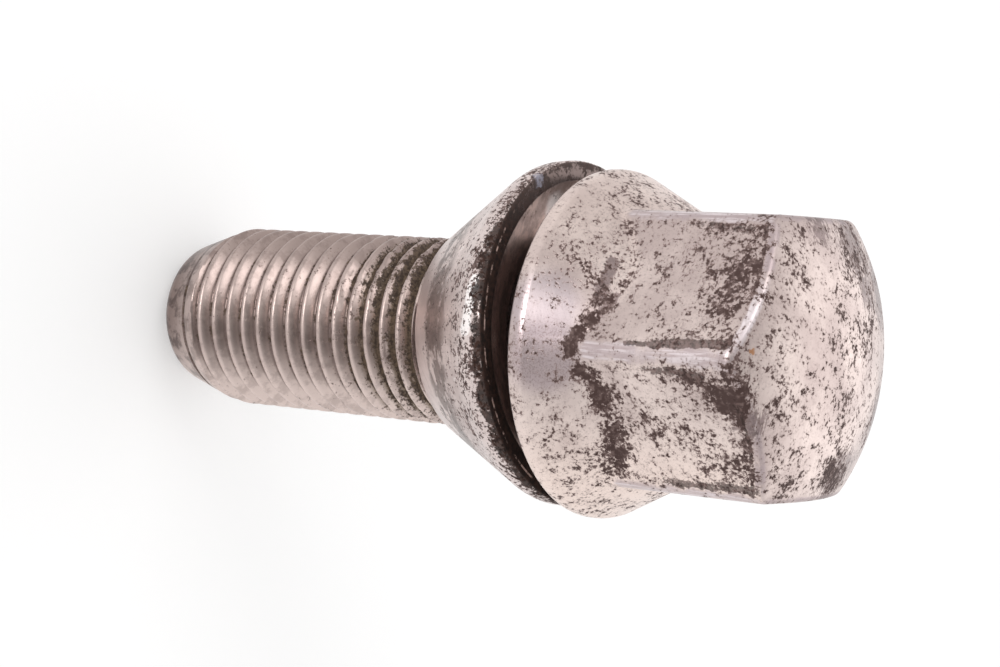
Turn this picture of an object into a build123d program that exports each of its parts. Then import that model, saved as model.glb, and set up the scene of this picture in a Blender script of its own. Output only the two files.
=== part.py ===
from build123d import *
from math import atan2, cos, degrees, radians, sin, tan
import os

os.makedirs("parts", exist_ok=True)

# Wheel bolt standing on its thread tip, head up. Z runs along the bolt from the middle of the tip's end face.
# All sizes are in millimetres and degrees.

# Threaded shank, a plain cylinder over the thread's crests
thread_diameter = 13.84
thread_length = 26.8
tip_taper_length = 5.55
tip_taper_angle = 17.7
tip_end_round = 2.0
runout_length = 0.6

# Flange
flange_diameter = 24.6
flange_land = 0.98
flange_cone_angle = 27.2
flange_lower_chamfer = 0.3
flange_shoulder_round = 1.2
underhead_chamfer = 0.6

# Hexagon head
head_height = 19.2
hex_across_flats = 18.85
hex_corner_round = 1.4
hex_foot_round = 0.9
crown_sphere_radius = 19.5
crown_edge_chamfer = 0.35

# Seat collar
collar_lip_width = 0.67
collar_cone_angle = 30.4
collar_land = 1.43
collar_shoulder_round = 1.7
collar_lip_chamfer = 0.35
collar_back_width = 1.3
collar_back_chamfer = 0.25
collar_dish_depth = 1.8
collar_entry = 0.35

# Fits: the collar is loose on the neck, tilts on it towards one side and can't pass the thread
captive_overlap = 0.2
neck_clearance = 0.85
tilt_gap = 0.37
runout_gap = 0.2
collar_float = 2.2

# Radii that follow
thread_radius = thread_diameter / 2
tip_end_radius = thread_radius - tip_taper_length * tan(radians(tip_taper_angle))
bore_radius = thread_radius - captive_overlap
neck_radius = bore_radius - neck_clearance
flange_radius = flange_diameter / 2
cone_top_radius = hex_across_flats / 2 - hex_foot_round
collar_radius = flange_radius
collar_lip_radius = bore_radius + collar_entry + collar_lip_width
collar_dish_radius = collar_radius - collar_back_width

# Heights that follow
collar_shoulder = (collar_radius - collar_lip_radius) / tan(radians(collar_cone_angle))
collar_length = collar_shoulder + collar_land
bore_length = collar_length - collar_dish_depth
collar_tilt = degrees(atan2(neck_clearance - tilt_gap, bore_length))
neck_bottom = thread_length + runout_length
collar_bottom = neck_bottom + runout_gap
flange_bottom = collar_bottom + collar_length + collar_float
cone_bottom = flange_bottom + flange_land
cone_top = cone_bottom + (flange_radius - cone_top_radius) / tan(radians(flange_cone_angle))
crown_top = flange_bottom + head_height
crown_centre = crown_top - crown_sphere_radius


def corner(sketch: BuildSketch, radius: float, height: float) -> Vertex:
    """The corner of a turned outline nearest to a radius and a height."""
    return sketch.vertices().sort_by_distance((radius, height))[0]


# Hexagon head with rounded corners, topped by a shallow dome
with BuildPart() as head:
    with BuildSketch(Plane.XY.offset(cone_bottom)) as hexagon:
        RegularPolygon(hex_across_flats / 2, 6, major_radius=False, rotation=30)
        fillet(hexagon.vertices(), hex_corner_round)
    extrude(amount=head_height)
    with Locations((0, 0, crown_centre)):
        Sphere(crown_sphere_radius, rotation=(90, 0, 0), mode=Mode.INTERSECT)
    crown = head.faces().sort_by(Axis.Z)[-1]
    chamfer(crown.edges(), crown_edge_chamfer)

# Bolt: tapered tip, threaded shank, neck and conical flange, forged in one with the head
with BuildPart() as bolt:
    with BuildSketch(Plane.XZ) as turned:
        with BuildLine():
            Polyline(
                (0, 0),
                (tip_end_radius, 0),
                (thread_radius, tip_taper_length),
                (thread_radius, thread_length),
                (neck_radius, neck_bottom),
                (neck_radius, flange_bottom),
                (flange_radius, flange_bottom),
                (flange_radius, cone_bottom),
                (cone_top_radius, cone_top),
                (0, cone_top),
                close=True,
            )
        make_face()
        fillet(corner(turned, tip_end_radius, 0), tip_end_round)
        chamfer(corner(turned, neck_radius, flange_bottom), underhead_chamfer)
        chamfer(corner(turned, flange_radius, flange_bottom), flange_lower_chamfer)
        fillet(corner(turned, flange_radius, cone_bottom), flange_shoulder_round)
    revolve(axis=Axis.Z)
    add(head.part)
    flange_cone = bolt.faces().filter_by(GeomType.CONE).sort_by(Axis.Z)[-1]
    fillet(flange_cone.edges().filter_by(GeomType.CIRCLE, reverse=True), hex_foot_round)
bolt.part.label = "bolt"
export_step(bolt.part, "parts/bolt.step")

# Seat collar: conical seat outside, plain bore, dished back
across = (cos(radians(collar_tilt)), 0, sin(radians(collar_tilt)))
collar_plane = Plane((0, 0, collar_bottom), x_dir=across, z_dir=(0, -1, 0))
collar_axis = Axis(collar_plane.origin, collar_plane.y_dir)
with BuildPart() as seat_collar:
    with BuildSketch(collar_plane) as section:
        with BuildLine():
            Polyline(
                (bore_radius, collar_entry),
                (bore_radius + collar_entry, 0),
                (collar_lip_radius, 0),
                (collar_radius, collar_shoulder),
                (collar_radius, collar_length),
                (collar_dish_radius, collar_length),
                (bore_radius, bore_length),
                close=True,
            )
        make_face()
        chamfer(corner(section, collar_lip_radius, 0), collar_lip_chamfer)
        fillet(corner(section, collar_radius, collar_shoulder), collar_shoulder_round)
        chamfer(corner(section, collar_radius, collar_length), collar_back_chamfer)
    revolve(axis=collar_axis)
seat_collar.part.label = "seat_collar"
export_step(seat_collar.part, "parts/seat_collar.step")
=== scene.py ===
"""Wheel bolt with a loose conical seat collar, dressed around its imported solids."""

import logging
import math
from dataclasses import dataclass
from enum import Enum
from typing import Callable, Union

import bmesh
import bpy
from mathutils import Matrix, Vector, noise

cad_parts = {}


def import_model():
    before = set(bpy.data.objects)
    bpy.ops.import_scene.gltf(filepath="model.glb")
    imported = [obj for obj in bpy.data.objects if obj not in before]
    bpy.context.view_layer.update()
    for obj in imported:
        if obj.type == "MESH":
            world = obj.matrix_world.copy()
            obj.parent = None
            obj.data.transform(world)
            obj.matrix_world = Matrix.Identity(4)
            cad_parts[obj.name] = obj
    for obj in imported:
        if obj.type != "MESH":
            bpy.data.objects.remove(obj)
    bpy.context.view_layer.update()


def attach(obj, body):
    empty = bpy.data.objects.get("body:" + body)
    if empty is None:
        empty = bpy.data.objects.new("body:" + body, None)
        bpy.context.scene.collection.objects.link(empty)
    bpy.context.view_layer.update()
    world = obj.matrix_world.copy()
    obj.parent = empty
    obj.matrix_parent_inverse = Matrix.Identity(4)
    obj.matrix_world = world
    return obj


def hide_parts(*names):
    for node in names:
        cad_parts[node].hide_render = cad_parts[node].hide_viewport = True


LOG = logging.getLogger("wheel_bolt")
MM = 0.001
MERGE = 1e-6
ON_RING = 0.004
ON_WALL = 0.01

Rgba = tuple[float, float, float, float]
Point = tuple[float, float, float]
Limits = tuple[float, float]
Spot = tuple[Point, float, float]
Stroke = tuple[Point, Point, float, float]
Level = Callable[[float], tuple[float, float]]
Socket = bpy.types.NodeSocket
Sockets = bpy.types.bpy_prop_collection
Source = Union[Socket, float, tuple]


class Body(Enum):
    """Bodies that the pieces ride on."""

    BOLT = "bolt"
    COLLAR = "collar"


class Node(Enum):
    """Solids that the pieces stand for."""

    BOLT = "bolt"
    COLLAR = "seat_collar"


class Slot(Enum):
    """Finishes that the record names."""

    STEEL = "plated_steel"
    COLLAR = "plated_collar"


def shade(red: int, green: int, blue: int) -> Rgba:
    """Turn a display colour into a linear one.

    Args:
        red: Red from 0 to 255.
        green: Green from 0 to 255.
        blue: Blue from 0 to 255.

    Returns:
        The linear colour with full opacity.
    """
    parts = []
    for value in (red, green, blue):
        part = value / 255
        parts.append(part / 12.92 if part <= 0.04045 else ((part + 0.055) / 1.055) ** 2.4)
    return (parts[0], parts[1], parts[2], 1.0)


class NodeSketch:
    """Short calls that add nodes to one shader tree."""

    def __init__(self, tree: bpy.types.NodeTree) -> None:
        """Keep the tree that the nodes go into."""
        self.tree = tree

    def add(self, kind: str, **settings: object) -> bpy.types.Node:
        """Add a node.

        Args:
            kind: Type of the node.
            settings: Properties to set on it.

        Returns:
            The new node.
        """
        node = self.tree.nodes.new(kind)
        for name, value in settings.items():
            setattr(node, name, value)
        return node

    def feed(self, socket: Socket, source: Source) -> None:
        """Link a socket to the source, or set the source as its value.

        Args:
            socket: The socket to feed.
            source: Another socket, or a plain value.
        """
        if isinstance(source, Socket):
            self.tree.links.new(source, socket)
        else:
            socket.default_value = source

    def math(self, how: str, *sources: Source) -> Socket:
        """Combine numbers with a Math node.

        Args:
            how: Operation of the node.
            sources: Its inputs in order.

        Returns:
            The result.
        """
        node = self.add("ShaderNodeMath", operation=how)
        for socket, source in zip(node.inputs, sources):
            self.feed(socket, source)
        return node.outputs["Value"]

    def times(self, result: Source, *factors: Source) -> Socket:
        """Multiply numbers.

        Args:
            result: The first number.
            factors: The others.

        Returns:
            The product.
        """
        for factor in factors:
            result = self.math("MULTIPLY", result, factor)
        return result

    def vector(self, how: str, *sources: Source) -> Sockets:
        """Combine vectors with a Vector Math node.

        Args:
            how: Operation of the node.
            sources: Its inputs in order.

        Returns:
            The results, Vector and Value.
        """
        node = self.add("ShaderNodeVectorMath", operation=how)
        for socket, source in zip(node.inputs, sources):
            self.feed(socket, source)
        return node.outputs

    def scaled(self, place: Source, factor: Source) -> Socket:
        """Multiply a vector by a number.

        Args:
            place: The vector.
            factor: The number.

        Returns:
            The longer or shorter vector.
        """
        node = self.add("ShaderNodeVectorMath", operation="SCALE")
        self.feed(node.inputs["Vector"], place)
        self.feed(node.inputs["Scale"], factor)
        return node.outputs["Vector"]

    def ramp(self, source: Source, low: float, high: float, bottom: float = 0.0,
             top: float = 1.0, shape: str = "SMOOTHSTEP") -> Socket:
        """Ease a number from one level to another.

        Args:
            source: The number.
            low: Where the easing starts.
            high: Where the easing ends.
            bottom: Result at the start.
            top: Result at the end.
            shape: How the number eases in between.

        Returns:
            The eased number, held beyond both ends.
        """
        node = self.add("ShaderNodeMapRange", interpolation_type=shape)
        for socket, value in zip(node.inputs, (source, low, high, bottom, top)):
            self.feed(socket, value)
        return node.outputs["Result"]

    def band(self, source: Source, rise: Limits, fall: Limits) -> Socket:
        """Pick out a band of a number, between its rise and its fall."""
        return self.times(self.ramp(source, *rise), self.ramp(source, *fall, 1.0, 0.0))

    def noise(self, place: Source, scale: Source, detail: float = 2.0,
              roughness: float = 0.5, twist: float = 0.0) -> Socket:
        """Sample cloudy noise.

        Args:
            place: Where to sample.
            scale: Clouds per unit of place.
            detail: Number of finer layers.
            roughness: Share that each finer layer adds.
            twist: How far the pattern is pushed about.

        Returns:
            A number around a half.
        """
        node = self.add("ShaderNodeTexNoise", noise_dimensions="3D")
        self.feed(node.inputs["Vector"], place)
        self.feed(node.inputs["Scale"], scale)
        node.inputs["Detail"].default_value = detail
        node.inputs["Roughness"].default_value = roughness
        node.inputs["Distortion"].default_value = twist
        return node.outputs[0]

    def blend(self, factor: Source, under: Source, over: Source) -> Socket:
        """Lay one colour over another.

        Args:
            factor: Share of the upper colour.
            under: Lower colour.
            over: Upper colour.

        Returns:
            The blended colour.
        """
        node = self.add("ShaderNodeMix", data_type="RGBA")
        share, lower, upper = node.inputs[0], node.inputs[6], node.inputs[7]
        for socket, source in zip((share, lower, upper), (factor, under, over)):
            self.feed(socket, source)
        return node.outputs[2]


class EffectGroup:
    """A shader effect that several finishes share."""

    name = "effect"
    takes: tuple[str, ...] = ()
    gives: tuple[str, ...] = ()

    def __init__(self) -> None:
        """Make the group with its sockets and fill it."""
        self.tree = bpy.data.node_groups.new(self.name, "ShaderNodeTree")
        self.tree.interface.new_socket("Place", in_out="INPUT", socket_type="NodeSocketVector")
        for label in self.takes:
            self.tree.interface.new_socket(label, in_out="INPUT", socket_type="NodeSocketFloat")
        for label in self.gives:
            self.tree.interface.new_socket(label, in_out="OUTPUT", socket_type="NodeSocketFloat")
        sketch = NodeSketch(self.tree)
        given = sketch.add("NodeGroupInput").outputs
        outside = sketch.add("NodeGroupOutput")
        for label, result in zip(self.gives, self.draw(sketch, given)):
            sketch.feed(outside.inputs[label], result)

    def draw(self, sketch: NodeSketch, given: Sockets) -> tuple[Socket, ...]:
        """Fill the group; each effect does this its own way."""
        raise NotImplementedError


class Pits(EffectGroup):
    """Sharp-edged corrosion pits in plating, crowded in places."""

    name = "plating_pits"
    takes = ("Grain", "Crowding")
    gives = ("Mask", "Depth", "Halo", "Tone", "Specks")
    shift = (41.0, 17.0, 9.0)
    mask_edge = (0.655, 0.7)
    depth_edge = (0.64, 0.75)
    halo_edge = (0.56, 0.68)
    speck_edge = (0.68, 0.76)

    def draw(self, sketch: NodeSketch, given: Sockets) -> tuple[Socket, ...]:
        """Cut pits where coarse and fine clouds and a slow drift add up.

        Args:
            sketch: Calls that add nodes.
            given: The group's inputs.

        Returns:
            Sharp mask, soft depth, a wider halo, a change of tone and fine specks between the pits.
        """
        place = sketch.vector("ADD", given["Place"], self.shift)["Vector"]
        grain = given["Grain"]
        drift = sketch.noise(place, 0.32, 2.0, 0.5)
        lift = sketch.math("MULTIPLY_ADD", drift, 0.22, given["Crowding"])
        clumps = sketch.noise(place, sketch.times(grain, 1.25), 3.0, 0.6)
        crumbs = sketch.noise(place, sketch.times(grain, 3.8), 4.0, 0.66)
        level = sketch.math("MULTIPLY_ADD", clumps, 0.4, lift)
        level = sketch.math("MULTIPLY_ADD", crumbs, 0.6, level)
        edges = [sketch.ramp(level, *edge) for edge in (self.mask_edge, self.depth_edge, self.halo_edge)]
        tone = sketch.noise(place, sketch.times(grain, 2.3), 3.0, 0.6)
        dust = sketch.noise(place, sketch.times(grain, 10.0), 2.0, 0.5)
        specks = sketch.ramp(sketch.math("MULTIPLY_ADD", lift, 0.5, dust), *self.speck_edge)
        return *edges, tone, specks


class Grime(EffectGroup):
    """Caked brown dirt with ragged edges."""

    name = "caked_grime"
    takes = ("Grain", "Crowding")
    gives = ("Mask", "Tone")
    mask_edge = (0.545, 0.625)

    def draw(self, sketch: NodeSketch, given: Sockets) -> tuple[Socket, ...]:
        """Spread dirt where the crowding lifts a ragged cloud.

        Args:
            sketch: Calls that add nodes.
            given: The group's inputs.

        Returns:
            Mask of the dirt and its change of tone.
        """
        place = given["Place"]
        grain = given["Grain"]
        cloud = sketch.noise(place, sketch.times(grain, 0.9), 3.0, 0.6, 0.5)
        crumbs = sketch.noise(place, sketch.times(grain, 4.6), 4.0, 0.7, 0.2)
        level = sketch.math("MULTIPLY_ADD", cloud, 0.5, given["Crowding"])
        level = sketch.math("MULTIPLY_ADD", crumbs, 0.5, level)
        tone = sketch.noise(place, sketch.times(grain, 3.4), 5.0, 0.65)
        return sketch.ramp(level, *self.mask_edge), tone


class Rubbing(EffectGroup):
    """Fine streaks and a slow change of gloss from handling."""

    name = "rubbed_streaks"
    takes = ("Grain",)
    gives = ("Streak", "Drift")
    stretch = (0.35, 5.0, 1.6)

    def draw(self, sketch: NodeSketch, given: Sockets) -> tuple[Socket, ...]:
        """Stretch fine clouds into streaks and add slow ones.

        Args:
            sketch: Calls that add nodes.
            given: The group's inputs.

        Returns:
            Streaks and slow drift, both around a half.
        """
        long = sketch.vector("MULTIPLY", given["Place"], self.stretch)["Vector"]
        streak = sketch.noise(long, given["Grain"], 3.0, 0.6, 0.15)
        drift = sketch.noise(given["Place"], 0.23, 3.0, 0.55)
        return streak, drift


@dataclass(frozen=True)
class Effects:
    """The shared shader effects."""

    pits: bpy.types.NodeTree
    grime: bpy.types.NodeTree
    rubbing: bpy.types.NodeTree


class Finish(NodeSketch):
    """A worn metal finish whose pattern follows the piece's own place in millimetres."""

    name = "finish"
    pit_grain = 1.0
    dirt_grain = 1.0
    rub_grain = 1.0
    specular = 0.15
    covered_metal = 0.3
    relief_depth = 0.016
    ground_tone = shade(188, 171, 167)
    dirt_tone = shade(108, 88, 84)
    caked_tone = shade(52, 39, 36)
    caked_levels: Limits = (0.4, 0.6)
    pitting: dict[str, float] = {}
    pitting_base = 0.0
    soiling: dict[str, float] = {}
    soiling_base = 0.0
    clusters: tuple[Spot, ...] = ()
    patches: tuple[Stroke, ...] = ()
    smears: tuple[Stroke, ...] = ()

    def __init__(self) -> None:
        """Make the material and start its tree."""
        self.material = bpy.data.materials.new(self.name)
        self.material.use_nodes = True
        super().__init__(self.material.node_tree)
        self.tree.nodes.clear()
        self.metal = self.add("ShaderNodeBsdfPrincipled")
        self.metal.inputs["Specular IOR Level"].default_value = self.specular
        output = self.add("ShaderNodeOutputMaterial")
        self.feed(output.inputs["Surface"], self.metal.outputs["BSDF"])
        self.place = self.scaled(self.add("ShaderNodeTexCoord").outputs["Object"], 1 / MM)
        self.zones: dict[str, Socket] = {}
        self.colour: Source = self.ground_tone

    def polar(self, place: Source) -> tuple[Socket, Socket, Socket]:
        """Split a place into polar parts about the upright axis.

        Args:
            place: Place in millimetres.

        Returns:
            Radius, angle in radians and height.
        """
        parts = self.add("ShaderNodeSeparateXYZ")
        self.feed(parts.inputs["Vector"], place)
        across, along, height = parts.outputs
        squared = self.math("MULTIPLY_ADD", along, along, self.times(across, across))
        return self.math("SQRT", squared), self.math("ARCTAN2", along, across), height

    def towards(self, direction: Point) -> Socket:
        """Measure how far the place lies in a direction."""
        return self.vector("DOT_PRODUCT", self.place, direction)["Value"]

    def near(self, centre: Point, reach: float) -> Socket:
        """Fade from one at a point to nought at a reach from it."""
        return self.ramp(self.vector("DISTANCE", self.place, centre)["Value"], reach, 0.0)

    def along(self, start: Point, end: Point, reach: float) -> Socket:
        """Fade from one on a straight stroke to nought at a reach from it.

        Args:
            start: One end of the stroke.
            end: Its other end.
            reach: Distance where the fade ends.

        Returns:
            The fade.
        """
        stroke = Vector(end) - Vector(start)
        offset = self.vector("SUBTRACT", self.place, start)["Vector"]
        share = self.vector("DOT_PRODUCT", offset, tuple(stroke / stroke.length_squared))["Value"]
        nearest = self.scaled(tuple(stroke), self.ramp(share, 0.0, 1.0, shape="LINEAR"))
        return self.ramp(self.vector("DISTANCE", offset, nearest)["Value"], reach, 0.0)

    def weighed(self, *pairs: tuple[Source, float], start: Source = 0.0) -> Socket:
        """Add up numbers, each times a weight.

        Args:
            pairs: The numbers with their weights.
            start: Number to start from.

        Returns:
            The sum.
        """
        for source, weight in pairs:
            start = self.math("MULTIPLY_ADD", source, weight, start)
        return start

    def crowded(self, weights: dict[str, float], base: float, spots: tuple[Spot, ...],
                strokes: tuple[Stroke, ...]) -> Socket:
        """Say how crowded a kind of wear is, by zones, spots and strokes.

        Args:
            weights: Weight of each zone.
            base: Level outside all zones.
            spots: Centre, reach and weight of each spot.
            strokes: Both ends, reach and weight of each stroke.

        Returns:
            The crowding.
        """
        pairs = [(self.zones[zone], weight) for zone, weight in weights.items()]
        pairs += [(self.near(centre, reach), weight) for centre, reach, weight in spots]
        pairs += [(self.along(start, end, reach), weight) for start, end, reach, weight in strokes]
        return self.weighed(*pairs, start=base)

    def spread(self, group: bpy.types.NodeTree, **sources: Source) -> Sockets:
        """Spread a shared effect over the piece.

        Args:
            group: The effect's tree.
            sources: Its inputs by name, apart from the place.

        Returns:
            The effect's results.
        """
        node = self.add("ShaderNodeGroup", node_tree=group)
        for name, source in {"Place": self.place, **sources}.items():
            self.feed(node.inputs[name], source)
        return node.outputs

    def wear(self, effects: Effects) -> None:
        """Spread pits, dirt and rubbing over the mapped zones.

        Args:
            effects: The shared effects.
        """
        pitted = self.crowded(self.pitting, self.pitting_base, self.clusters, self.patches)
        soiled = self.crowded(self.soiling, self.soiling_base, (), self.smears)
        self.pits = self.spread(effects.pits, Grain=self.pit_grain, Crowding=pitted)
        self.grime = self.spread(effects.grime, Grain=self.dirt_grain, Crowding=soiled)
        self.rubbed = self.spread(effects.rubbing, Grain=self.rub_grain)

    def lay(self, mask: Source, tone: Source, strength: float = 1.0) -> None:
        """Lay a tone over the colour so far.

        Args:
            mask: Where the tone lies.
            tone: The tone.
            strength: Share of the tone where the mask is full.
        """
        if strength < 1.0:
            mask = self.times(mask, strength)
        self.colour = self.blend(mask, self.colour, tone)

    def soil(self, strength: Source) -> None:
        """Lay the dirt, dark where it is caked."""
        tone = self.blend(self.ramp(self.grime["Tone"], *self.caked_levels), self.caked_tone, self.dirt_tone)
        self.lay(self.times(self.grime["Mask"], strength), tone)

    def show(self, cover: Source, roughness: Source, relief: Source) -> None:
        """Feed the shader with the colour and what goes with it.

        Args:
            cover: Where pits and dirt hide the metal.
            roughness: Roughness of the surface.
            relief: Height pattern to press into the surface.
        """
        bump = self.add("ShaderNodeBump")
        bump.inputs["Strength"].default_value = 1.0
        bump.inputs["Distance"].default_value = self.relief_depth * MM
        self.feed(bump.inputs["Height"], relief)
        self.feed(self.metal.inputs["Base Color"], self.colour)
        self.feed(self.metal.inputs["Metallic"], self.ramp(cover, 0.0, 1.0, 1.0, self.covered_metal))
        self.feed(self.metal.inputs["Roughness"], roughness)
        self.feed(self.metal.inputs["Normal"], bump.outputs["Normal"])


def piece(name: str, shape: bmesh.types.BMesh, finish: Finish, sharp: float) -> bpy.types.Object:
    """Turn a finished shape into a smooth-shaded object.

    Args:
        name: Name of the piece.
        shape: The shape, which is freed.
        finish: Finish of the piece.
        sharp: Angle in degrees beyond which an edge stays sharp.

    Returns:
        The new object.
    """
    bmesh.ops.recalc_face_normals(shape, faces=shape.faces[:])
    mesh = bpy.data.meshes.new(name)
    shape.to_mesh(mesh)
    shape.free()
    mesh.shade_smooth()
    mesh.set_sharp_from_angle(angle=math.radians(sharp))
    mesh.materials.append(finish.material)
    made = bpy.data.objects.new(name, mesh)
    bpy.context.scene.collection.objects.link(made)
    return made


def outline(shape: bmesh.types.BMesh, points: list[tuple[float, float]], closed: bool) -> list:
    """Draw a half section beside the upright axis.

    Args:
        shape: Shape to draw in.
        points: Radius and height of each corner in millimetres.
        closed: Whether the last corner joins the first.

    Returns:
        The corners and lines.
    """
    corners = [shape.verts.new((radius * MM, 0, height * MM)) for radius, height in points]
    pairs = list(zip(corners, corners[1:]))
    if closed:
        pairs.append((corners[-1], corners[0]))
    return corners + [shape.edges.new(pair) for pair in pairs]


def turn(shape: bmesh.types.BMesh, section: list, steps: int) -> None:
    """Spin a half section a full turn about the upright axis.

    Args:
        shape: Shape that holds the section.
        section: Corners and lines of the section.
        steps: Number of steps in the turn.
    """
    bmesh.ops.spin(shape, geom=section, cent=(0, 0, 0), axis=(0, 0, 1), angle=2 * math.pi,
                   steps=steps, use_merge=True)
    bmesh.ops.remove_doubles(shape, verts=shape.verts[:], dist=MERGE)
    bmesh.ops.recalc_face_normals(shape, faces=shape.faces[:])


def ring(shape: bmesh.types.BMesh, radius: float, height: float) -> list:
    """Find the ring of edges at a radius and a height.

    Args:
        shape: The turned shape.
        radius: Radius of the ring in millimetres.
        height: Height of the ring in millimetres.

    Returns:
        The edges of the ring.
    """
    def on_ring(vert: bmesh.types.BMVert) -> bool:
        """Whether a corner lies on the ring."""
        return abs(vert.co.xy.length / MM - radius) < ON_RING and abs(vert.co.z / MM - height) < ON_RING

    return [edge for edge in shape.edges if all(on_ring(vert) for vert in edge.verts)]


def rounded(shape: bmesh.types.BMesh, edges: list, width: float, segments: int) -> None:
    """Round off edges.

    Args:
        shape: Shape that holds the edges.
        edges: The edges.
        width: Width of the rounding on each side in millimetres.
        segments: Number of steps in the rounding.
    """
    bmesh.ops.bevel(shape, geom=edges, offset=width * MM, offset_type="OFFSET", segments=segments,
                    profile=0.5, affect="EDGES", material=-1, clamp_overlap=True)


def level_at(radius: float, height: float) -> Level:
    """A level that is the same in every direction."""
    return lambda bearing: (radius, height)


def place_ring(edges: list, level: Level) -> None:
    """Move a ring of edges to the radius and height that its directions ask for.

    Args:
        edges: The ring.
        level: Gives radius and height in millimetres for a direction in radians.
    """
    for vert in {vert for edge in edges for vert in edge.verts}:
        bearing = math.atan2(vert.co.y, vert.co.x)
        radius, height = level(bearing)
        vert.co = Vector((radius * math.cos(bearing), radius * math.sin(bearing), height)) * MM


def drawn_up(shape: bmesh.types.BMesh, edges: list, level: Level) -> list:
    """Extrude a ring of edges to a new level.

    Args:
        shape: Shape that holds the ring.
        edges: The ring.
        level: Gives radius and height in millimetres for a direction in radians.

    Returns:
        The new ring.
    """
    grown = bmesh.ops.extrude_edge_only(shape, edges=edges)["geom"]
    fresh = [part for part in grown if isinstance(part, bmesh.types.BMEdge)]
    place_ring(fresh, level)
    return fresh


def striped(shape: bmesh.types.BMesh, low: float, high: float, cuts: int) -> None:
    """Cut more rings into the walls between two heights.

    Args:
        shape: The turned shape.
        low: Lower height in millimetres.
        high: Upper height in millimetres.
        cuts: Number of rings to add.
    """
    walls = []
    for edge in shape.edges:
        heights = sorted(vert.co.z / MM for vert in edge.verts)
        if abs(heights[0] - low) < ON_WALL and abs(heights[1] - high) < ON_WALL:
            walls.append(edge)
    bmesh.ops.subdivide_edges(shape, edges=walls, cuts=cuts)


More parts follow.
